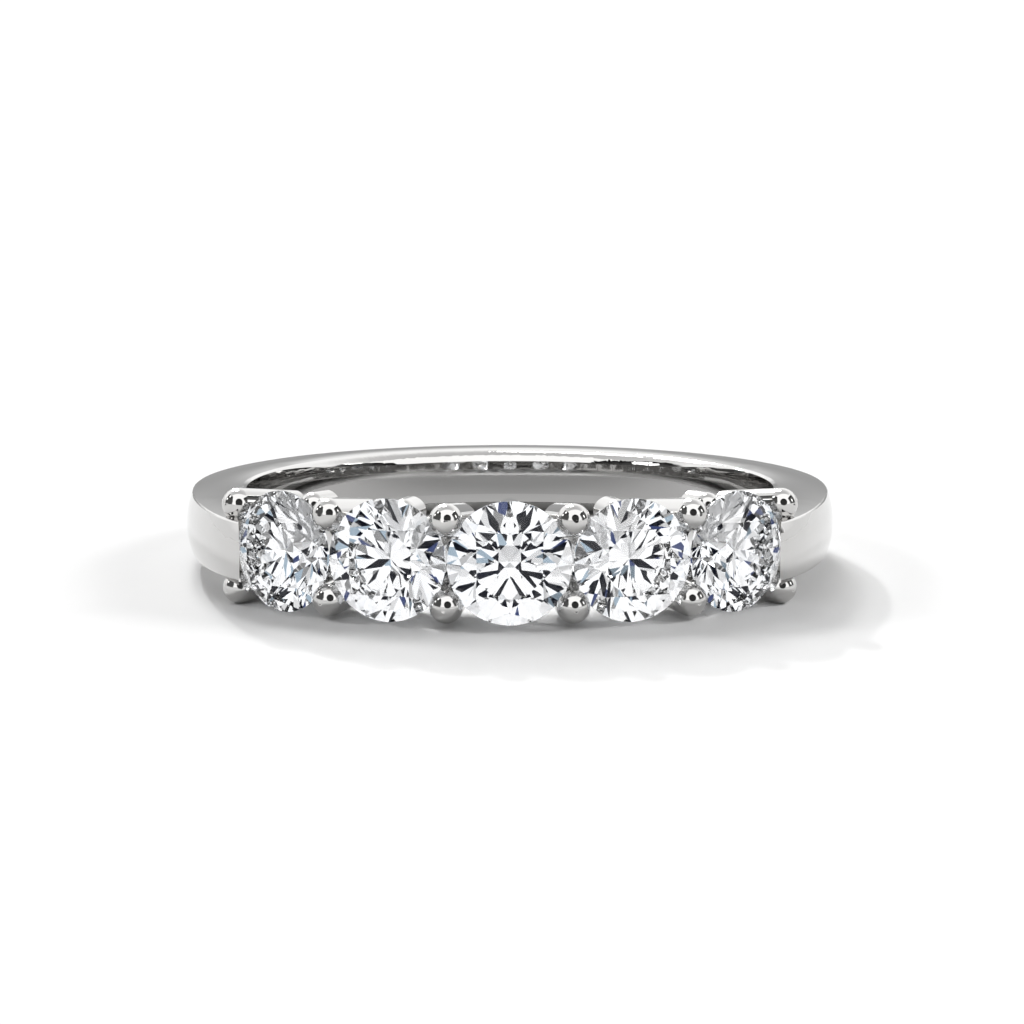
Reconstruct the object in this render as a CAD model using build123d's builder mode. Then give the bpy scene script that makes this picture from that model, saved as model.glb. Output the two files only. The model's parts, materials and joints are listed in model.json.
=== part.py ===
from build123d import *
import os
from math import asin, atan2, cos, degrees, hypot, radians, sin, sqrt, tan

# A five stone ring lying on its side. Lengths are millimetres and angles are degrees.
# The ring has its own frame, ring_plane: local Z is the ring's axis and local -Y is the middle of the head.
# Angles round the ring are counted from the middle of the head.

# Finger hole
finger_radius = 8.67
bore_land = 0.9
comfort_radius = 4.2
bore_allowance = 0.02
bore_reach = 3.0

# Shank, measured to its crisp edges. Its flanks are nearly flat at the shoulders and soft at the back.
shank_wall = 1.73
shank_back_width = 2.28
shank_head_width = 1.78
dome_back = 0.22
dome_head = 0.18
flank_crown_back = 0.05
flank_crown_head = 0.05
flank_drop_back = 0.10
flank_drop_head = 0.03
edge_round = 0.08
inner_round_back = 0.55
inner_round_head = 0.20
soft_start_angle = 112.0
soft_full_angle = 150.0

# Shoulders, which flare outwards to the end stones
shoulder_end_angle = 42.0
flare_full_angle = 46.0
flare_start_angle = 92.0
flare_power = 2.3
shoulder_rise = 1.40
shoulder_clearance = 0.07
shoulder_end_lean = 8.0
shank_step_angle = 12.0

# Round brilliant stones, their girdles set out from the finger hole
stone_count = 5
stone_pitch_angle = 19.5
girdle_rise = 2.17
stone_gap = 0.03
seat_clearance = 0.02
girdle_share = 0.028
table_share = 0.57
crown_angle = 34.5
pavilion_angle = 40.8
star_share = 0.50
culet_share = 0.01
lower_half_share = 0.77
stone_turn = 22.5

# Prongs, each shared by two stones: the ball at its end laps over both girdles
prong_radius = 0.50
prong_lap = 0.085
prong_tip_rise = 0.18
prong_root_inset = 0.10

# Base rail, gallery bars and light windows behind the stones
rail_wall = 0.78
rail_width = 2.20
rail_round = 0.30
bar_radius = 0.43
bar_tip_rise = 0.07
bar_rise = 0.14
window_radius = 0.78

# Radii from the ring's axis
shank_radius = finger_radius + shank_wall
girdle_radius = finger_radius + girdle_rise
prong_tip_radius = girdle_radius + prong_tip_rise
rail_radius = finger_radius + rail_wall
bar_tip_radius = rail_radius + bar_tip_rise

# Stone sizes that follow from the pitch: neighbours keep stone_gap at the inner edge of their girdles
half_pitch = stone_pitch_angle / 2
half_pitch_tan = tan(radians(half_pitch))
stone_radius = (girdle_radius * half_pitch_tan - stone_gap / 2) / (1 + girdle_share * half_pitch_tan)
girdle_half = girdle_share * stone_radius
crown_rise = (1 - table_share) * stone_radius * tan(radians(crown_angle))
pavilion_depth = stone_radius * tan(radians(pavilion_angle))
table_height = girdle_half + crown_rise
facet_fold = 8
facet_step = 360 / facet_fold

# Heights above and below the middle of the band
prong_tip_height = sqrt((stone_radius + prong_radius - prong_lap) ** 2 - (stone_radius + stone_gap / 2) ** 2)
prong_root_height = rail_width / 2 - prong_root_inset
bar_height = rail_width / 2 + bar_rise

# The ring rests on the two end prongs of one side and on the back of the shank
end_prong_angle = stone_count * half_pitch
back_contact_y = shank_radius - edge_round
back_contact_z = -(shank_back_width / 2 - edge_round)
prong_contact_y = -prong_tip_radius * cos(radians(end_prong_angle))
contact_run = back_contact_y - prong_contact_y
contact_drop = back_contact_z + prong_tip_height
contact_lean = asin((prong_radius - edge_round) / hypot(contact_run, contact_drop))
rest_lean = contact_lean + atan2(contact_drop, contact_run)
rest_height = prong_radius + prong_tip_height * cos(rest_lean) + prong_contact_y * sin(rest_lean)

# The origin is on the floor, under the middle of the ring's length
table_reach = (girdle_radius + table_height) * cos(rest_lean) + table_share * stone_radius * sin(rest_lean)
prong_reach = prong_tip_radius * cos(radians(half_pitch)) * cos(rest_lean) + prong_radius
front_reach = max(table_reach, prong_reach + prong_tip_height * sin(rest_lean))
back_reach = (shank_radius + dome_back) * cos(rest_lean)

ring_plane = Plane(
    origin=(0, (front_reach - back_reach) / 2, rest_height),
    x_dir=(1, 0, 0),
    z_dir=(0, sin(rest_lean), cos(rest_lean)),
)
ring_axis = Axis(ring_plane.origin, ring_plane.z_dir)


def radial_plane(angle):
    """The plane through the ring's axis at an angle: local X runs outwards, local Y along the axis."""
    return Plane(ring_plane.location * Rotation(0, 0, angle - 90) * Rotation(90, 0, 0))


def outward_plane(angle, radius, height=0.0, lean=0.0, turn=0.0):
    """A plane that faces outwards at an angle round the ring, leaned along the ring's axis and turned."""
    place = ring_plane.location * Rotation(0, 0, angle) * Location((0, -radius, height))
    return Plane(place * Rotation(90 - lean, 0, 0) * Rotation(0, 0, turn))


def between(head_size, back_size, share):
    """A size on its way from the head to the back of the shank."""
    return head_size + (back_size - head_size) * share


def shank_section(angle):
    """Outer radius, half width and dome of the shank at an angle round the ring."""
    from_head = 180 - abs(180 - angle)
    flare = (flare_start_angle - from_head) / (flare_start_angle - flare_full_angle)
    flare = min(1.0, max(0.0, flare))
    widen = sin(radians(90 * (from_head - shoulder_end_angle) / (180 - shoulder_end_angle)))
    radius = shank_radius + shoulder_rise * flare**flare_power
    half_width = between(shank_head_width, shank_back_width, widen) / 2
    return radius, half_width, between(dome_head, dome_back, widen)


def flank_shape(angle):
    """Crown, drop and inner rounding of the shank's flanks at an angle round the ring."""
    from_head = 180 - abs(180 - angle)
    run = min(1.0, max(0.0, (from_head - soft_start_angle) / (soft_full_angle - soft_start_angle)))
    softness = run**2 * (3 - 2 * run)
    crown = between(flank_crown_head, flank_crown_back, softness)
    drop = between(flank_drop_head, flank_drop_back, softness)
    return crown, drop, between(inner_round_head, inner_round_back, softness)


stone_angles = [stone_pitch_angle * (k - (stone_count - 1) / 2) for k in range(stone_count)]
prong_angles = [stone_pitch_angle * (k - stone_count / 2) for k in range(stone_count + 1)]

# A round brilliant on local Z, its girdle centred on the origin and its table upwards
crown_slope = tan(radians(crown_angle))
pavilion_slope = tan(radians(pavilion_angle))
table_flat = table_share * cos(radians(facet_step / 2))
star_tip = table_flat + star_share * (1 - table_flat)
star_rise = (1 - star_tip * cos(radians(facet_step / 2))) * crown_slope
lower_tip = 1 - lower_half_share
lower_drop = (1 - lower_tip * cos(radians(facet_step / 2))) * pavilion_slope
half_facet_cos = cos(radians(facet_step / 4))

# Each group of facets: number, first angle, distance from the axis at the girdle, and slope, in stone radii
crown_facets = [
    (facet_fold, 0.0, 1.0, crown_slope),
    (2 * facet_fold, facet_step / 4, half_facet_cos, star_rise / (half_facet_cos * (1 - star_tip))),
]
pavilion_facets = [
    (facet_fold, 0.0, 1.0, pavilion_slope),
    (2 * facet_fold, facet_step / 4, half_facet_cos, lower_drop / (half_facet_cos * (1 - lower_tip))),
]
star_slope = ((1 - table_share) * crown_slope - star_rise) / (star_tip - table_flat)


def facet_plane(angle, distance, height, slope):
    """The plane of a facet that faces an angle, at a distance and height, with a rise for each unit outwards."""
    outward = Vector(cos(radians(angle)), sin(radians(angle)), 0)
    normal = outward * abs(slope) + Vector(0, 0, 1 if slope > 0 else -1)
    return Plane(origin=outward * distance + Vector(0, 0, height), z_dir=normal)


facet_planes = []
for side, groups in ((1, crown_facets), (-1, pavilion_facets)):
    for count, first, distance, slope in groups:
        for k in range(count):
            facet_angle = first + k * 360 / count
            facet_planes.append(
                facet_plane(facet_angle, distance * stone_radius, side * girdle_half, side * slope)
            )
for k in range(facet_fold):
    star_angle = facet_step * (k + 0.5)
    facet_planes.append(facet_plane(star_angle, table_flat * stone_radius, table_height, star_slope))

culet_height = -girdle_half - (1 - culet_share) * pavilion_depth
with BuildPart() as cut_stone:
    with BuildSketch(Plane.XY.offset(culet_height)):
        Circle(stone_radius)
    extrude(amount=table_height - culet_height)
    for plane in facet_planes:
        split(bisect_by=plane, keep=Keep.BOTTOM)

# The room for one stone: its outline turned round its axis, larger by the seat's clearance
seat_radius = stone_radius + seat_clearance
seat_crown_drop = seat_clearance * (sqrt(1 + crown_slope**2) - crown_slope)
seat_pavilion_drop = seat_clearance * (sqrt(1 + pavilion_slope**2) - pavilion_slope)
seat_top = table_height + seat_clearance
seat_bottom = -girdle_half - seat_pavilion_drop - seat_radius * pavilion_slope
seat_table = seat_radius - (seat_top - girdle_half - seat_crown_drop) / crown_slope

with BuildPart() as stone_seat:
    with BuildSketch(Plane.XZ):
        with BuildLine():
            Polyline(
                (0, seat_bottom),
                (seat_radius, -girdle_half - seat_pavilion_drop),
                (seat_radius, girdle_half + seat_crown_drop),
                (seat_table, seat_top),
                (0, seat_top),
                close=True,
            )
        make_face()
    revolve(axis=Axis.Z)

# Prongs and gallery bars start inside the finger hole, which is cut last and leaves their ends flush with it
prong_lean = atan2(prong_tip_height - prong_root_height, prong_tip_radius - finger_radius)
prong_inset_height = prong_root_height - prong_radius * tan(prong_lean)
prong_length = (prong_tip_radius - finger_radius + prong_radius) / cos(prong_lean)


def round_ended_bar(radius, length):
    """Half the outline of a bar that starts flat at the origin and ends in a half ball."""
    Polyline((0, length + radius), (0, 0), (radius, 0), (radius, length))
    CenterArc((0, length), radius, 0, 90)


with BuildPart() as prong:
    with BuildSketch(Plane.XZ):
        with BuildLine():
            round_ended_bar(prong_radius, prong_length)
        make_face()
    revolve(axis=Axis.Z)

with BuildPart() as gallery_bar:
    with BuildSketch(Plane.XZ):
        with BuildLine():
            round_ended_bar(bar_radius, bar_tip_radius - finger_radius + bar_radius)
        make_face()
    revolve(axis=Axis.Z)

# The finger hole: a straight land in the middle, and arcs that open it towards both sides
bore_opening = comfort_radius - sqrt(comfort_radius**2 - (bore_reach - bore_land / 2) ** 2)
comfort_middle = (bore_reach + bore_land / 2) / 2
comfort_middle_opening = comfort_radius - sqrt(comfort_radius**2 - (comfort_middle - bore_land / 2) ** 2)
with BuildPart() as finger_hole:
    with BuildSketch(radial_plane(0)):
        with BuildLine():
            Line((finger_radius, -bore_land / 2), (finger_radius, bore_land / 2))
            for side in (1, -1):
                ThreePointArc(
                    (finger_radius, side * bore_land / 2),
                    (finger_radius + comfort_middle_opening, side * comfort_middle),
                    (finger_radius + bore_opening, side * bore_reach),
                )
                Line((finger_radius + bore_opening, side * bore_reach), (0, side * bore_reach))
            Line((0, -bore_reach), (0, bore_reach))
        make_face()
    revolve(axis=ring_axis)

# The crown side of an end stone stays clear of the shoulder, whose end leans a little over the stone's edge
end_stone_angle = stone_angles[-1]
seat_edge_x = girdle_radius * sin(radians(end_stone_angle)) + seat_radius * cos(radians(end_stone_angle))
seat_edge_y = -girdle_radius * cos(radians(end_stone_angle)) + seat_radius * sin(radians(end_stone_angle))
seat_lip_x = seat_edge_x - 2 * stone_radius * cos(radians(end_stone_angle))
seat_lip_y = seat_edge_y - 2 * stone_radius * sin(radians(end_stone_angle))
front_clear_y = -(girdle_radius + 2 * stone_radius)
shoulder_end_x = seat_edge_x + shoulder_clearance
shoulder_end_run = (seat_edge_y - front_clear_y) * tan(radians(shoulder_end_lean))
with BuildPart() as shoulder_end:
    with BuildSketch(ring_plane):
        with BuildLine():
            Polyline(
                (shoulder_end_x, seat_edge_y),
                (shoulder_end_x - shoulder_end_run, front_clear_y),
                (seat_lip_x, front_clear_y),
                (seat_lip_x, seat_lip_y),
                close=True,
            )
        make_face()
        mirror(about=Plane.YZ)
    extrude(amount=shank_back_width, both=True)

# Angles of the shank's sections, evenly spaced from one end stone round the back to the other
shank_sweep = 360 - 2 * shoulder_end_angle
shank_steps = max(6, 2 * round(shank_sweep / shank_step_angle / 2))
section_angles = [shoulder_end_angle + shank_sweep * k / shank_steps for k in range(shank_steps + 1)]
cast_radius = finger_radius - bore_allowance
rail_cast_radius = cast_radius - bore_allowance

with BuildPart() as ring_setting:
    # Shank, cast a little under size in the finger hole
    for angle in section_angles:
        outer_radius, half_width, dome = shank_section(angle)
        crown, drop, inner_round = flank_shape(angle)
        inner_half = half_width - drop
        flank_x = (outer_radius + cast_radius) / 2
        flank_y = half_width - drop / 2 + crown
        with BuildSketch(radial_plane(angle)) as section:
            with BuildLine():
                ThreePointArc((outer_radius, -half_width), (outer_radius + dome, 0), (outer_radius, half_width))
                ThreePointArc((outer_radius, half_width), (flank_x, flank_y), (cast_radius, inner_half))
                Line((cast_radius, inner_half), (cast_radius, -inner_half))
                ThreePointArc((cast_radius, -inner_half), (flank_x, -flank_y), (outer_radius, -half_width))
            make_face()
            fillet(section.vertices().group_by(Axis.X)[-1], radius=edge_round)
            fillet(section.vertices().group_by(Axis.X)[0], radius=inner_round)
    loft()
    add(shoulder_end.part, mode=Mode.SUBTRACT)
    # Base rail, which ends inside the end prongs
    with BuildSketch(radial_plane(-end_prong_angle)):
        with Locations(((rail_cast_radius + rail_radius) / 2, 0)):
            RectangleRounded(rail_radius - rail_cast_radius, rail_width, rail_round)
    revolve(axis=ring_axis, revolution_arc=2 * end_prong_angle)
    # Prongs and gallery bars above and below the stones
    for side in (1, -1):
        prong_slope = side * degrees(prong_lean)
        prong_places = [
            outward_plane(angle, finger_radius - prong_radius, side * prong_inset_height, prong_slope)
            for angle in prong_angles
        ]
        bar_places = [outward_plane(angle, finger_radius - bar_radius, side * bar_height) for angle in stone_angles]
        with Locations(*prong_places):
            add(prong.part)
        with Locations(*bar_places):
            add(gallery_bar.part)
    # Light windows through the rail
    window_inset = finger_radius - window_radius
    with Locations(*[outward_plane(angle, window_inset) for angle in stone_angles]):
        Cylinder(
            window_radius,
            rail_radius - window_inset + bar_radius,
            align=(Align.CENTER, Align.CENTER, Align.MIN),
            mode=Mode.SUBTRACT,
        )
    # Stone seats, and last the finger hole
    with Locations(*[outward_plane(angle, girdle_radius) for angle in stone_angles]):
        add(stone_seat.part, mode=Mode.SUBTRACT)
    add(finger_hole.part, mode=Mode.SUBTRACT)

os.makedirs("parts", exist_ok=True)
ring_setting.part.label = "ring_setting"
export_step(ring_setting.part, "parts/ring_setting.step")

for number, angle in enumerate(stone_angles, 1):
    with BuildPart() as stone:
        with Locations(outward_plane(angle, girdle_radius, turn=stone_turn)):
            add(cut_stone.part)
    stone.part.label = f"stone_{number}"
    export_step(stone.part, f"parts/{stone.part.label}.step")
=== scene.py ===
import json
from math import cos, pi, radians, sin, tan

import bmesh
import bpy
from bpy.props import FloatProperty, FloatVectorProperty, PointerProperty
from mathutils import Matrix, Vector

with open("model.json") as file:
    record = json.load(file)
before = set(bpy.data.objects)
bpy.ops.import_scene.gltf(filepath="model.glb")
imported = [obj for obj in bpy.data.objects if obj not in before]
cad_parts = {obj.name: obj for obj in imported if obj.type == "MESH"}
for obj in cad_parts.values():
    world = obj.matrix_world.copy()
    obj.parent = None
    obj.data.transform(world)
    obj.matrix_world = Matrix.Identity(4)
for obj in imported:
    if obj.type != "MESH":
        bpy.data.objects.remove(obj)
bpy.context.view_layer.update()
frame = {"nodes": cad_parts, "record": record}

bl_info = {
    "name": "Five Stone Ring",
    "version": (1, 0, 0),
    "blender": (4, 5, 0),
    "location": "3D View > Sidebar > Ring",
    "description": "Finishes a five stone ring and sets it on a pale floor in soft studio light",
    "category": "Object",
}

SETTING_NODE = "ring_setting"
STONE_NODES = sorted(name for name in frame["nodes"] if name.startswith("stone_"))

MM_PER_METRE = 1000

# The ring's own frame comes from its finger hole: a centre and an axis
FINGER_HOLE = next(mount for mount in frame["record"]["mounts"] if mount["name"] == "finger_hole")
RING_CENTRE = Vector(FINGER_HOLE["pos_m"])
RING_AXIS = Vector(FINGER_HOLE["axis"]).normalized()

# The camera's picture is as many pixels wide as it is high. Its clip distances are shares of other sizes.
PHOTO_PIXELS = 1024
SENSOR_WIDTH_MM = 36.0
NEAR_CLIP_PER_DISTANCE = 0.05
FAR_CLIP_PER_FLOOR = 2


class RingMetalSettings(bpy.types.PropertyGroup):
    """Colours and polish of the white metal."""

    bright: FloatVectorProperty(
        name="Bright tone", description="Colour of the cleanest polish", subtype="COLOR",
        size=3, min=0, max=1, default=(0.590, 0.585, 0.577),
    )
    soft: FloatVectorProperty(
        name="Soft tone", description="Colour where the polish is a little hazy", subtype="COLOR",
        size=3, min=0, max=1, default=(0.565, 0.560, 0.552),
    )
    polish: FloatProperty(
        name="Polish", description="Roughness of the cleanest polish", min=0, max=1, default=0.015,
    )
    haze: FloatProperty(
        name="Haze", description="Roughness where the polish is a little hazy", min=0, max=1, default=0.05,
    )
    cloud_size: FloatProperty(
        name="Cloud size", description="Size of the hazy patches", subtype="DISTANCE", unit="LENGTH",
        min=0.0001, max=0.02, default=0.003,
    )
    relief: FloatProperty(
        name="Relief", description="Depth of the polishing marks", subtype="DISTANCE", unit="LENGTH",
        min=0, max=0.0001, default=0.0000004,
    )


class RingStoneSettings(bpy.types.PropertyGroup):
    """Colours and refraction of the stones."""

    clear: FloatVectorProperty(
        name="Clear tone", description="Colour of the clearest part of a stone", subtype="COLOR",
        size=3, min=0, max=1, default=(1.0, 1.0, 1.0),
    )
    icy: FloatVectorProperty(
        name="Icy tone", description="Colour of the faint cool clouds", subtype="COLOR",
        size=3, min=0, max=1, default=(0.955, 0.970, 1.0),
    )
    refraction: FloatProperty(
        name="Refraction", description="Index of refraction of the stones", min=1, max=4, default=2.417,
    )
    gleam: FloatVectorProperty(
        name="Gleam", description="Colour of the light that the outer facets mirror", subtype="COLOR",
        size=3, min=0, max=1, default=(0.12, 0.12, 0.12),
    )
    cloud_size: FloatProperty(
        name="Cloud size", description="Size of the faint clouds", subtype="DISTANCE", unit="LENGTH",
        min=0.0001, max=0.02, default=0.0012,
    )


class RingStudioSettings(bpy.types.PropertyGroup):
    """Floor, light and the cards that the polish mirrors."""

    floor_colour: FloatVectorProperty(
        name="Floor", description="Colour of the floor", subtype="COLOR",
        size=3, min=0, max=1, default=(0.90, 0.90, 0.90),
    )
    floor_shade: FloatVectorProperty(
        name="Floor shade", description="Colour of the floor's faint mottling", subtype="COLOR",
        size=3, min=0, max=1, default=(0.885, 0.885, 0.885),
    )
    floor_size: FloatProperty(
        name="Floor size", description="Width of the floor", subtype="DISTANCE", unit="LENGTH",
        min=0.5, max=100, default=60.0,
    )
    sky: FloatProperty(
        name="Soft light", description="Strength of the even light from all round",
        min=0, max=10, default=0.29,
    )
    backdrop: FloatProperty(
        name="Backdrop", description="Brightness of the background", min=0, max=10, default=1.1,
    )
    key: FloatProperty(
        name="Key light", description="Strength of the light from behind", min=0, max=100, default=1.03,
    )
    card_distance: FloatProperty(
        name="Card distance", description="Distance of the cards from the ring", subtype="DISTANCE",
        unit="LENGTH", min=0.1, max=10, default=0.60,
    )


class RingCameraSettings(bpy.types.PropertyGroup):
    """The camera's place, measured from the ring's own plane."""

    elevation: FloatProperty(
        name="Elevation", description="Angle above the plane of the ring", subtype="ANGLE", unit="ROTATION",
        min=0, max=pi / 2, default=radians(7.71),
    )
    distance: FloatProperty(
        name="Distance", description="Distance from the ring's centre", subtype="DISTANCE", unit="LENGTH",
        min=0.03, max=2, default=0.09225,
    )
    pixels_per_metre: FloatProperty(
        name="Scale", description="Pixels for each metre at the ring's centre",
        min=1000, max=100000, default=30170,
    )
    aim_right: FloatProperty(
        name="Aim to the right", description="How far right of the ring's centre the camera looks",
        subtype="DISTANCE", unit="LENGTH", min=-0.01, max=0.01, default=0.0000663,
    )
    aim_up: FloatProperty(
        name="Aim up", description="How far above the ring's centre the camera looks",
        subtype="DISTANCE", unit="LENGTH", min=-0.01, max=0.01, default=0.0000533,
    )


# The pattern of haze and polishing marks
CLOUD_DETAIL = 4
CLOUD_ROUGHNESS = 0.55
CLOUD_EDGES = (0.35, 0.68)
MARKS_PER_CLOUD = 3.0
MARK_DETAIL = 2

POLISH_SOCKETS = (
    ("Clean Colour", "NodeSocketColor", "INPUT"),
    ("Hazy Colour", "NodeSocketColor", "INPUT"),
    ("Clean Roughness", "NodeSocketFloat", "INPUT"),
    ("Hazy Roughness", "NodeSocketFloat", "INPUT"),
    ("Cloud Scale", "NodeSocketFloat", "INPUT"),
    ("Relief", "NodeSocketFloat", "INPUT"),
    ("Colour", "NodeSocketColor", "OUTPUT"),
    ("Roughness", "NodeSocketFloat", "OUTPUT"),
    ("Normal", "NodeSocketVector", "OUTPUT"),
)

# Sockets that share their names with others of the same node, so they are taken by number
MIX_COLOUR_A, MIX_COLOUR_B, MIX_COLOUR_RESULT = 6, 7, 2
MIX_SHADER_A, MIX_SHADER_B = 1, 2
MULTIPLY_A, MULTIPLY_B = 0, 1


def fine_polish_group():
    """Clouds of haze and fine polishing marks on a hand finished surface."""
    found = bpy.data.node_groups.get("Fine Polish")
    if found:
        return found
    group = bpy.data.node_groups.new("Fine Polish", "ShaderNodeTree")
    for name, kind, in_out in POLISH_SOCKETS:
        group.interface.new_socket(name=name, in_out=in_out, socket_type=kind)
    nodes, links = group.nodes, group.links
    inputs = nodes.new("NodeGroupInput")
    outputs = nodes.new("NodeGroupOutput")
    place = nodes.new("ShaderNodeTexCoord")

    clouds = nodes.new("ShaderNodeTexNoise")
    clouds.inputs["Detail"].default_value = CLOUD_DETAIL
    clouds.inputs["Roughness"].default_value = CLOUD_ROUGHNESS
    links.new(place.outputs["Object"], clouds.inputs["Vector"])
    links.new(inputs.outputs["Cloud Scale"], clouds.inputs["Scale"])
    mask = nodes.new("ShaderNodeMapRange")
    mask.inputs["From Min"].default_value = CLOUD_EDGES[0]
    mask.inputs["From Max"].default_value = CLOUD_EDGES[1]
    links.new(clouds.outputs["Fac"], mask.inputs["Value"])

    tone = nodes.new("ShaderNodeMix")
    tone.data_type = "RGBA"
    links.new(mask.outputs["Result"], tone.inputs["Factor"])
    links.new(inputs.outputs["Clean Colour"], tone.inputs[MIX_COLOUR_A])
    links.new(inputs.outputs["Hazy Colour"], tone.inputs[MIX_COLOUR_B])
    haze = nodes.new("ShaderNodeMapRange")
    links.new(mask.outputs["Result"], haze.inputs["Value"])
    links.new(inputs.outputs["Clean Roughness"], haze.inputs["To Min"])
    links.new(inputs.outputs["Hazy Roughness"], haze.inputs["To Max"])

    mark_scale = nodes.new("ShaderNodeMath")
    mark_scale.operation = "MULTIPLY"
    links.new(inputs.outputs["Cloud Scale"], mark_scale.inputs[MULTIPLY_A])
    mark_scale.inputs[MULTIPLY_B].default_value = MARKS_PER_CLOUD
    marks = nodes.new("ShaderNodeTexNoise")
    marks.inputs["Detail"].default_value = MARK_DETAIL
    links.new(place.outputs["Object"], marks.inputs["Vector"])
    links.new(mark_scale.outputs["Value"], marks.inputs["Scale"])
    bump = nodes.new("ShaderNodeBump")
    links.new(marks.outputs["Fac"], bump.inputs["Height"])
    links.new(inputs.outputs["Relief"], bump.inputs["Distance"])

    links.new(tone.outputs[MIX_COLOUR_RESULT], outputs.inputs["Colour"])
    links.new(haze.outputs["Result"], outputs.inputs["Roughness"])
    links.new(bump.outputs["Normal"], outputs.inputs["Normal"])
    return group


def new_material(name):
    """A named material with its Principled BSDF."""
    material = bpy.data.materials.new(name)
    material.use_nodes = True
    return material, material.node_tree.nodes["Principled BSDF"]


def add_polish(material, clean, hazy, cloud_size, relief=0.0, roughness=(0.0, 0.0)):
    """Places the polish group in a material with its own values. The roughness goes from clean to hazy."""
    polish = material.node_tree.nodes.new("ShaderNodeGroup")
    polish.node_tree = fine_polish_group()
    polish.inputs["Clean Colour"].default_value = (*clean, 1)
    polish.inputs["Hazy Colour"].default_value = (*hazy, 1)
    polish.inputs["Clean Roughness"].default_value = roughness[0]
    polish.inputs["Hazy Roughness"].default_value = roughness[1]
    polish.inputs["Cloud Scale"].default_value = 1 / cloud_size
    polish.inputs["Relief"].default_value = relief
    return polish


def white_gold_material(settings):
    """Mirror polished white metal with faint clouds of haze and polishing marks."""
    material, shader = new_material("White Gold Polish")
    polish = add_polish(
        material, settings.bright, settings.soft, settings.cloud_size,
        relief=settings.relief, roughness=(settings.polish, settings.haze),
    )
    links = material.node_tree.links
    shader.inputs["Metallic"].default_value = 1
    links.new(polish.outputs["Colour"], shader.inputs["Base Color"])
    links.new(polish.outputs["Roughness"], shader.inputs["Roughness"])
    links.new(polish.outputs["Normal"], shader.inputs["Normal"])
    return material


def brilliant_material(settings):
    """Clear cut stone with faint icy clouds."""
    material, shader = new_material("Brilliant Stone")
    polish = add_polish(material, settings.clear, settings.icy, settings.cloud_size)
    shader.inputs["Metallic"].default_value = 0
    shader.inputs["Roughness"].default_value = 0
    shader.inputs["IOR"].default_value = settings.refraction
    shader.inputs["Transmission Weight"].default_value = 1
    shader.inputs["Specular Tint"].default_value = (*settings.gleam, 1)
    material.node_tree.links.new(polish.outputs["Colour"], shader.inputs["Base Color"])
    return material


def set_material(obj, material):
    """Gives every face of an object one material."""
    obj.data.materials.clear()
    obj.data.materials.append(material)


def mesh_object(name, builder):
    """A new object around a mesh that a builder function fills."""
    mesh = bpy.data.meshes.new(name)
    shape = bmesh.new()
    builder(shape)
    shape.to_mesh(mesh)
    shape.free()
    obj = bpy.data.objects.new(name, mesh)
    bpy.context.scene.collection.objects.link(obj)
    return obj


def direction(azimuth, elevation):
    """A unit vector: azimuth 0 points to the camera's side, 90 to the right, 180 behind the ring."""
    azimuth, elevation = radians(azimuth), radians(elevation)
    return Vector((sin(azimuth) * cos(elevation), -cos(azimuth) * cos(elevation), sin(elevation)))


def facing(target, place):
    """The rotation of an object at a place whose local -Z looks at a target."""
    return (target - place).to_track_quat("-Z", "Y").to_matrix().to_4x4()


WHITE = (1, 1, 1)
NIGHT = (0.25, 0.35, 0.90)
STEEL = (0.62, 0.78, 0.92)

# Cards that only the ring's polish mirrors. Angles are degrees: azimuth and elevation of the card's middle,
# and half its width and height. The glow changes from the card's foot to its top. A later card hangs a little
# nearer than the one before.
CARD_COLUMNS = (
    "name", "outline", "azimuth", "elevation", "half_width", "half_height", "colour", "foot_glow", "top_glow",
)
POLISH_CARDS = (
    ("back_wall", "square", 180, 3, 36, 13, WHITE, 0.42, 1.35),
    ("left_flag", "square", -70, 31, 34, 24, WHITE, 0.12, 0.004),
    ("right_flag", "square", 84, 27, 26, 19, WHITE, 0.12, 0.004),
    ("front_window", "square", 10, 48, 47, 38, WHITE, 1.7, 1.7),
    ("left_lamp_low", "round", -93, 26, 5, 5, WHITE, 3.0, 3.0),
    ("left_lamp_high", "round", -84, 46, 6, 6, WHITE, 3.0, 3.0),
    ("right_lamp", "round", 82, 22, 4, 8, WHITE, 3.0, 3.0),
    ("lens_shade", "round", 12, 24, 24, 24, WHITE, 0.050, 0.005),
)
POLISH_CARD_SPACING = 0.93

# Cards whose sides fade into the room: the faded share of the width at each side, and the glow at the edge
SOFT_SIDES = {"back_wall": (0.22, 1.03), "left_flag": (0.10, 1.5), "right_flag": (0.10, 1.5)}

# Round cards of even glow that are seen only through the stones, which break them up into dark, blue and grey
# facets: azimuth, elevation, half width and half height in degrees, colour and glow
STONE_CARDS = (
    (-30, 50, 13, 13, WHITE, 0.66),
    (30, 55, 10, 10, WHITE, 0.55),
    (15, 24, 12, 9, WHITE, 0.75),
    (-14, 30, 9, 9, STEEL, 0.60),
    (35, 12, 7, 7, STEEL, 0.32),
    (-42, 8, 7, 7, WHITE, 0.36),
    (-28, 20, 6, 6, WHITE, 0.30),
    (0, 6, 15.5, 15.5, NIGHT, 0.01),
    (-39, 14, 6, 6, NIGHT, 0.01),
    (-50, 33, 8, 8, NIGHT, 0.01),
    (39, 33, 7, 7, NIGHT, 0.01),
    (57, 38, 8, 8, NIGHT, 0.01),
    (22, 16, 5, 5, NIGHT, 0.01),
    (-14, 57, 7, 7, NIGHT, 0.01),
    (-18, 9, 4, 4, NIGHT, 0.02),
    (-46, 21, 5, 5, NIGHT, 0.20),
    (46, 16, 4, 4, NIGHT, 0.20),
    (10, 30, 5, 5, NIGHT, 0.20),
    (-22, 24, 3, 3, NIGHT, 0.20),
)
STONE_CARD_SPACING = 0.985

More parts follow.
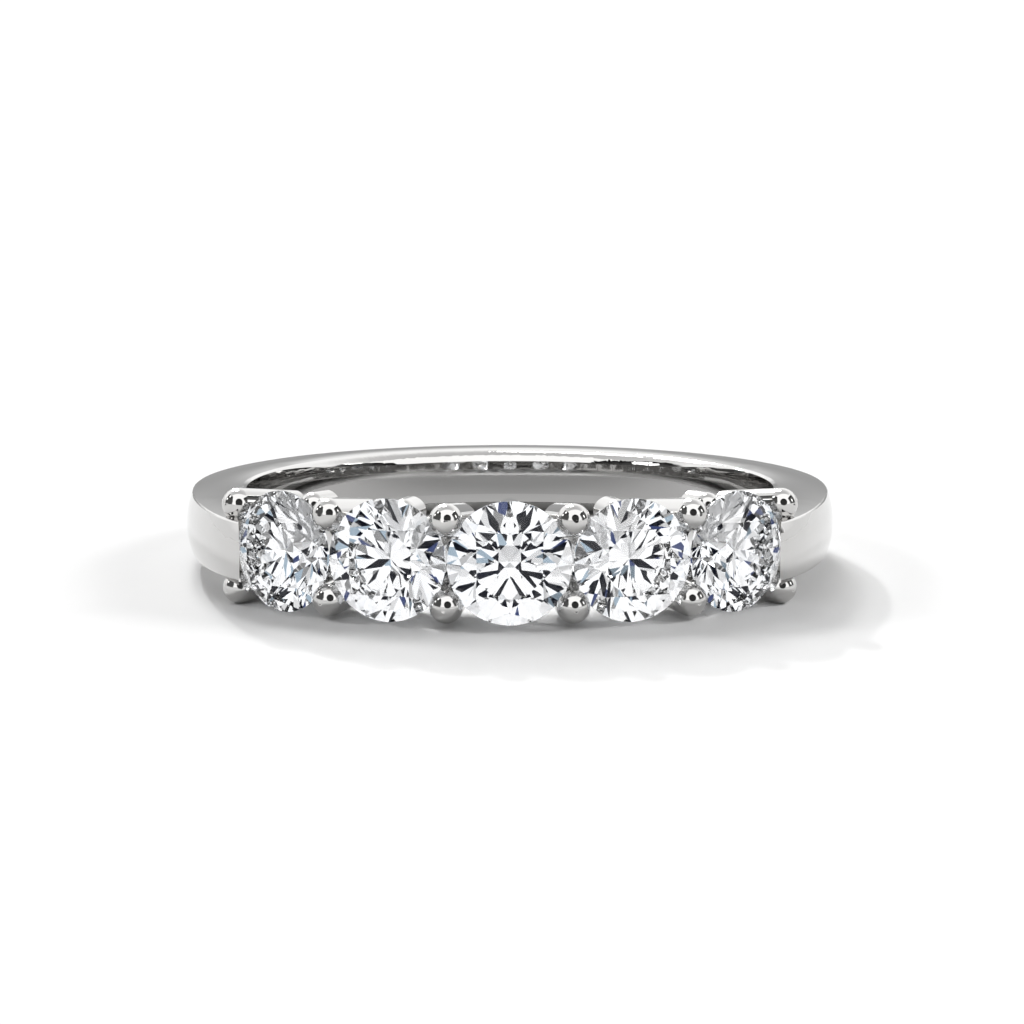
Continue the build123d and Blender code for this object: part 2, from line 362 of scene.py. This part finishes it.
# Painted shade: a grey glowing card on the floor inside the ring, seen only in the polish of the finger hole,
# which stands in for the floor there in the ring's shadow. Its glow rises from the front of the ring towards
# the back. Its share is of the hole's radius.
INNER_SHADE_CARD = {"name": "inner_shade_card", "colour": WHITE, "foot_glow": 0.40, "top_glow": 0.70}
INNER_SHADE_CARD_SHARE = 0.93
INNER_SHADE_CARD_LIFT = 0.00002

# The shares of a card's height above which its glow changes
CARD_FADE = 0.60
INNER_SHADE_CARD_FADE = 0.25

ROUND_CARD_SIDES = 48


def card_glow(card, fade=CARD_FADE):
    """A card's glow, which changes smoothly above a share of the card's height."""
    material, shader = new_material(f"Card {card['name']}")
    shader.inputs["Base Color"].default_value = (0, 0, 0, 1)
    shader.inputs["Roughness"].default_value = 1
    shader.inputs["Specular IOR Level"].default_value = 0
    shader.inputs["Emission Color"].default_value = (*card["colour"], 1)
    nodes, links = material.node_tree.nodes, material.node_tree.links
    place = nodes.new("ShaderNodeTexCoord")
    height = nodes.new("ShaderNodeSeparateXYZ")
    links.new(place.outputs["Generated"], height.inputs["Vector"])
    glow = nodes.new("ShaderNodeMapRange")
    glow.interpolation_type = "SMOOTHSTEP"
    glow.inputs["From Min"].default_value = fade
    glow.inputs["To Min"].default_value = card["foot_glow"]
    glow.inputs["To Max"].default_value = card["top_glow"]
    links.new(height.outputs["Y"], glow.inputs["Value"])
    strength = glow.outputs["Result"]
    if card["name"] in SOFT_SIDES:
        strength = soft_sides(material, height.outputs["X"], strength, *SOFT_SIDES[card["name"]])
    links.new(strength, shader.inputs["Emission Strength"])
    return material


def soft_sides(material, across, strength, share, edge_glow):
    """Fades a card's glow into the glow of its edges over a share of the width at each side."""
    nodes, links = material.node_tree.nodes, material.node_tree.links
    for rim, middle in ((0, share), (1, 1 - share)):
        fade = nodes.new("ShaderNodeMapRange")
        fade.interpolation_type = "SMOOTHSTEP"
        fade.inputs["From Min"].default_value = min(rim, middle)
        fade.inputs["From Max"].default_value = max(rim, middle)
        fade.inputs["To Min"].default_value = 1 - rim
        fade.inputs["To Max"].default_value = rim
        links.new(across, fade.inputs["Value"])
        blend = nodes.new("ShaderNodeMix")
        links.new(fade.outputs["Result"], blend.inputs["Factor"])
        links.new(strength, blend.inputs["A"])
        blend.inputs["B"].default_value = edge_glow
        strength = blend.outputs["Result"]
    return strength


def show_only(obj, in_polish=False, in_stones=False):
    """Hides a card from the camera and keeps its light and shadow off the floor."""
    obj.visible_camera = False
    obj.visible_diffuse = False
    obj.visible_shadow = False
    obj.visible_volume_scatter = False
    obj.visible_glossy = in_polish
    obj.visible_transmission = in_stones


def build_card(card, distance, in_polish=False, in_stones=False):
    """One glowing or dark card that faces the ring."""
    def outline(shape):
        size = Matrix.Diagonal(
            (distance * tan(radians(card["half_width"])), distance * tan(radians(card["half_height"])), 1, 1)
        )
        if card["outline"] == "round":
            bmesh.ops.create_circle(shape, cap_ends=True, segments=ROUND_CARD_SIDES, radius=1, matrix=size)
        else:
            bmesh.ops.create_grid(shape, x_segments=1, y_segments=1, size=1, matrix=size)

    obj = mesh_object(card["name"], outline)
    place = RING_CENTRE + direction(card["azimuth"], card["elevation"]) * distance
    obj.matrix_world = Matrix.Translation(place) @ facing(RING_CENTRE, place)
    set_material(obj, card_glow(card))
    show_only(obj, in_polish, in_stones)
    return obj


# The key light from behind is a tall soft lamp, built from lamps above each other. The fill lamps at both
# sides throw the faint shadows. Angles are degrees, and the strengths are shares of the key light.
LAMP_COLUMNS = ("azimuth", "elevation", "strength", "spread")
KEY_LAMPS = (
    (-163, 27.0, 0.345, 2),
    (-170, 33.5, 0.205, 9),
    (-155, 43.0, 0.165, 11),
    (-168, 56.0, 0.150, 16),
)
FILL_LAMPS = (
    (100, 34.0, 0.390, 24),
    (-105, 34.0, 0.240, 12),
)

# How the room's brightness changes with the sine of the elevation, as shares of its peak
POLISH_ROOM_PEAK = 1.5
POLISH_ROOM = ((0.0, 0.69), (0.12, 0.69), (0.30, 0.97), (0.62, 1.0), (0.84, 0.62), (1.0, 0.52))
STONE_ROOM_PEAK = 1.22
STONE_ROOM = ((0.0, 0.95), (0.50, 1.0), (1.0, 0.85))
STONE_ROOM_TINT = (0.97, 0.985, 1.0)
EVEN_ROOM = ((0.0, 1.0),)

# How often light may bounce, so that it finds its way out of a cut stone
STONE_BOUNCES = 16
ALL_BOUNCES = 24

FLOOR_MOTTLE_SIZE = 0.02


def add_sun(name, lamp_row, key):
    """A distant lamp in a direction, as wide as its spread."""
    row = dict(zip(LAMP_COLUMNS, lamp_row))
    lamp = bpy.data.lights.new(name, "SUN")
    # A white floor squarely below a lamp of strength pi is as bright as a background of strength 1
    lamp.energy = key * row["strength"] * pi
    lamp.angle = radians(row["spread"])
    obj = bpy.data.objects.new(name, lamp)
    bpy.context.scene.collection.objects.link(obj)
    place = RING_CENTRE + direction(row["azimuth"], row["elevation"])
    obj.matrix_world = Matrix.Translation(place) @ facing(RING_CENTRE, place)
    return obj


class RING_OT_finish_setting(bpy.types.Operator):
    """Gives the setting its mirror polish"""

    bl_idname = "ring.finish_setting"
    bl_label = "Finish the Setting"

    def execute(self, context):
        setting = frame["nodes"][SETTING_NODE]
        set_material(setting, white_gold_material(context.scene.ring_metal))
        return {"FINISHED"}


class RING_OT_finish_stones(bpy.types.Operator):
    """Gives the cut stones their clear, bright finish"""

    bl_idname = "ring.finish_stones"
    bl_label = "Finish the Stones"

    def execute(self, context):
        material = brilliant_material(context.scene.ring_stones)
        for name in STONE_NODES:
            set_material(frame["nodes"][name], material)
        return {"FINISHED"}


class RING_OT_build_stage(bpy.types.Operator):
    """Lays the pale floor and hangs the cards, the lamps and the soft light"""

    bl_idname = "ring.build_stage"
    bl_label = "Build the Stage"

    def execute(self, context):
        studio = context.scene.ring_studio
        self.lay_floor(studio)
        for index, row in enumerate(POLISH_CARDS):
            distance = studio.card_distance * POLISH_CARD_SPACING**index
            build_card(dict(zip(CARD_COLUMNS, row)), distance, in_polish=True)
        for index, (*angles, colour, glow) in enumerate(STONE_CARDS):
            row = (f"stone_card_{index}", "round", *angles, colour, glow, glow)
            distance = studio.card_distance * STONE_CARD_SPACING**index
            build_card(dict(zip(CARD_COLUMNS, row)), distance, in_stones=True)
        self.lay_inner_shade_card()
        for index, row in enumerate(KEY_LAMPS + FILL_LAMPS):
            add_sun(f"lamp_{index}", row, studio.key)
        self.light_room(context.scene, studio)
        return {"FINISHED"}

    def lay_floor(self, studio):
        """The pale, faintly mottled floor."""
        floor = mesh_object(
            "floor",
            lambda shape: bmesh.ops.create_grid(
                shape, x_segments=1, y_segments=1, size=studio.floor_size / 2
            ),
        )
        material, shader = new_material("Pale Floor")
        mottle = add_polish(material, studio.floor_colour, studio.floor_shade, FLOOR_MOTTLE_SIZE)
        shader.inputs["Roughness"].default_value = 1
        shader.inputs["Specular IOR Level"].default_value = 0
        material.node_tree.links.new(mottle.outputs["Colour"], shader.inputs["Base Color"])
        set_material(floor, material)

    def lay_inner_shade_card(self):
        """The grey card of painted shade on the floor inside the ring, standing in for the floor in the
        ring's shadow.
        """
        radius = FINGER_HOLE["dims"]["r_mm"] / MM_PER_METRE * INNER_SHADE_CARD_SHARE
        place = Matrix.Translation((RING_CENTRE.x, RING_CENTRE.y, INNER_SHADE_CARD_LIFT))
        card = mesh_object(
            INNER_SHADE_CARD["name"],
            lambda shape: bmesh.ops.create_circle(
                shape, cap_ends=True, segments=ROUND_CARD_SIDES, radius=radius, matrix=place
            ),
        )
        # Painted shade: the card glows darker at the front of the ring and lighter towards the back
        set_material(card, card_glow(INNER_SHADE_CARD, INNER_SHADE_CARD_FADE))
        show_only(card, in_polish=True)

    def light_room(self, scene, studio):
        """Even light on the floor, and rooms that only the polish, the stones or the camera see."""
        scene.world = bpy.data.worlds.new("Soft Room")
        scene.world.use_nodes = True
        nodes, links = scene.world.node_tree.nodes, scene.world.node_tree.links
        soft = nodes["Background"]
        soft.inputs["Strength"].default_value = studio.sky
        soft.inputs["Color"].default_value = (*WHITE, 1)
        path = nodes.new("ShaderNodeLightPath")
        rooms = (
            ("Is Glossy Ray", self.room(scene.world, POLISH_ROOM, POLISH_ROOM_PEAK, WHITE)),
            ("Is Transmission Ray", self.room(scene.world, STONE_ROOM, STONE_ROOM_PEAK, STONE_ROOM_TINT)),
            ("Is Camera Ray", self.room(scene.world, EVEN_ROOM, studio.backdrop, WHITE)),
        )
        seen = soft.outputs["Background"]
        for ray, room in rooms:
            choose = nodes.new("ShaderNodeMixShader")
            links.new(path.outputs[ray], choose.inputs["Fac"])
            links.new(seen, choose.inputs[MIX_SHADER_A])
            links.new(room.outputs["Background"], choose.inputs[MIX_SHADER_B])
            seen = choose.outputs["Shader"]
        links.new(seen, nodes["World Output"].inputs["Surface"])
        scene.view_settings.view_transform = "Standard"
        scene.view_settings.look = "None"
        scene.cycles.glossy_bounces = STONE_BOUNCES
        scene.cycles.transmission_bounces = STONE_BOUNCES
        scene.cycles.max_bounces = ALL_BOUNCES

    def room(self, world, shares, peak, tint):
        """A background whose brightness changes with height."""
        nodes, links = world.node_tree.nodes, world.node_tree.links
        place = nodes.new("ShaderNodeTexCoord")
        height = nodes.new("ShaderNodeSeparateXYZ")
        links.new(place.outputs["Generated"], height.inputs["Vector"])
        ramp = nodes.new("ShaderNodeValToRGB")
        elements = ramp.color_ramp.elements
        while len(elements) > 1:
            elements.remove(elements[-1])
        for index, (position, share) in enumerate(shares):
            element = elements[0] if index == 0 else elements.new(position)
            element.position = position
            element.color = (*(share * channel for channel in tint), 1)
        links.new(height.outputs["Z"], ramp.inputs["Fac"])
        background = nodes.new("ShaderNodeBackground")
        background.inputs["Strength"].default_value = peak
        links.new(ramp.outputs["Color"], background.inputs["Color"])
        return background


class RING_OT_place_camera(bpy.types.Operator):
    """Places the camera at the head of the ring, a little above its plane"""

    bl_idname = "ring.place_camera"
    bl_label = "Place the Camera"

    def execute(self, context):
        settings = context.scene.ring_camera
        right = Vector((1, 0, 0))
        along = RING_AXIS.cross(right)
        forward = along * cos(settings.elevation) - RING_AXIS * sin(settings.elevation)
        up = along * sin(settings.elevation) + RING_AXIS * cos(settings.elevation)
        camera = bpy.data.cameras.new("ring_camera")
        focal_pixels = settings.pixels_per_metre * settings.distance
        camera.sensor_width = SENSOR_WIDTH_MM
        camera.lens = focal_pixels / PHOTO_PIXELS * camera.sensor_width
        camera.clip_start = settings.distance * NEAR_CLIP_PER_DISTANCE
        camera.clip_end = context.scene.ring_studio.floor_size * FAR_CLIP_PER_FLOOR
        obj = bpy.data.objects.new("ring_camera", camera)
        context.scene.collection.objects.link(obj)
        place = RING_CENTRE + right * settings.aim_right + up * settings.aim_up - forward * settings.distance
        turned = Matrix((right, up, -forward)).transposed().to_4x4()
        obj.matrix_world = Matrix.Translation(place) @ turned
        context.scene.camera = obj
        return {"FINISHED"}


class RING_PT_panel(bpy.types.Panel):
    """Lists the steps that dress the ring"""

    bl_idname = "RING_PT_panel"
    bl_label = "Five Stone Ring"
    bl_space_type = "VIEW_3D"
    bl_region_type = "UI"
    bl_category = "Ring"

    def draw(self, context):
        layout = self.layout
        for name, group in SETTINGS.items():
            box = layout.box()
            for setting in group.__annotations__:
                box.prop(getattr(context.scene, name), setting)
        for operator in OPERATORS:
            layout.operator(operator.bl_idname)


SETTINGS = {
    "ring_metal": RingMetalSettings,
    "ring_stones": RingStoneSettings,
    "ring_studio": RingStudioSettings,
    "ring_camera": RingCameraSettings,
}
OPERATORS = (RING_OT_finish_setting, RING_OT_finish_stones, RING_OT_build_stage, RING_OT_place_camera)


def register():
    for group in (*SETTINGS.values(), *OPERATORS, RING_PT_panel):
        bpy.utils.register_class(group)
    for name, settings in SETTINGS.items():
        setattr(bpy.types.Scene, name, PointerProperty(type=settings))


def unregister():
    for name in SETTINGS:
        delattr(bpy.types.Scene, name)
    for group in reversed((*SETTINGS.values(), *OPERATORS, RING_PT_panel)):
        bpy.utils.unregister_class(group)


def main():
    register()
    bpy.ops.ring.finish_setting()
    bpy.ops.ring.finish_stones()
    bpy.ops.ring.build_stage()
    bpy.ops.ring.place_camera()


if __name__ == "__main__":
    main()
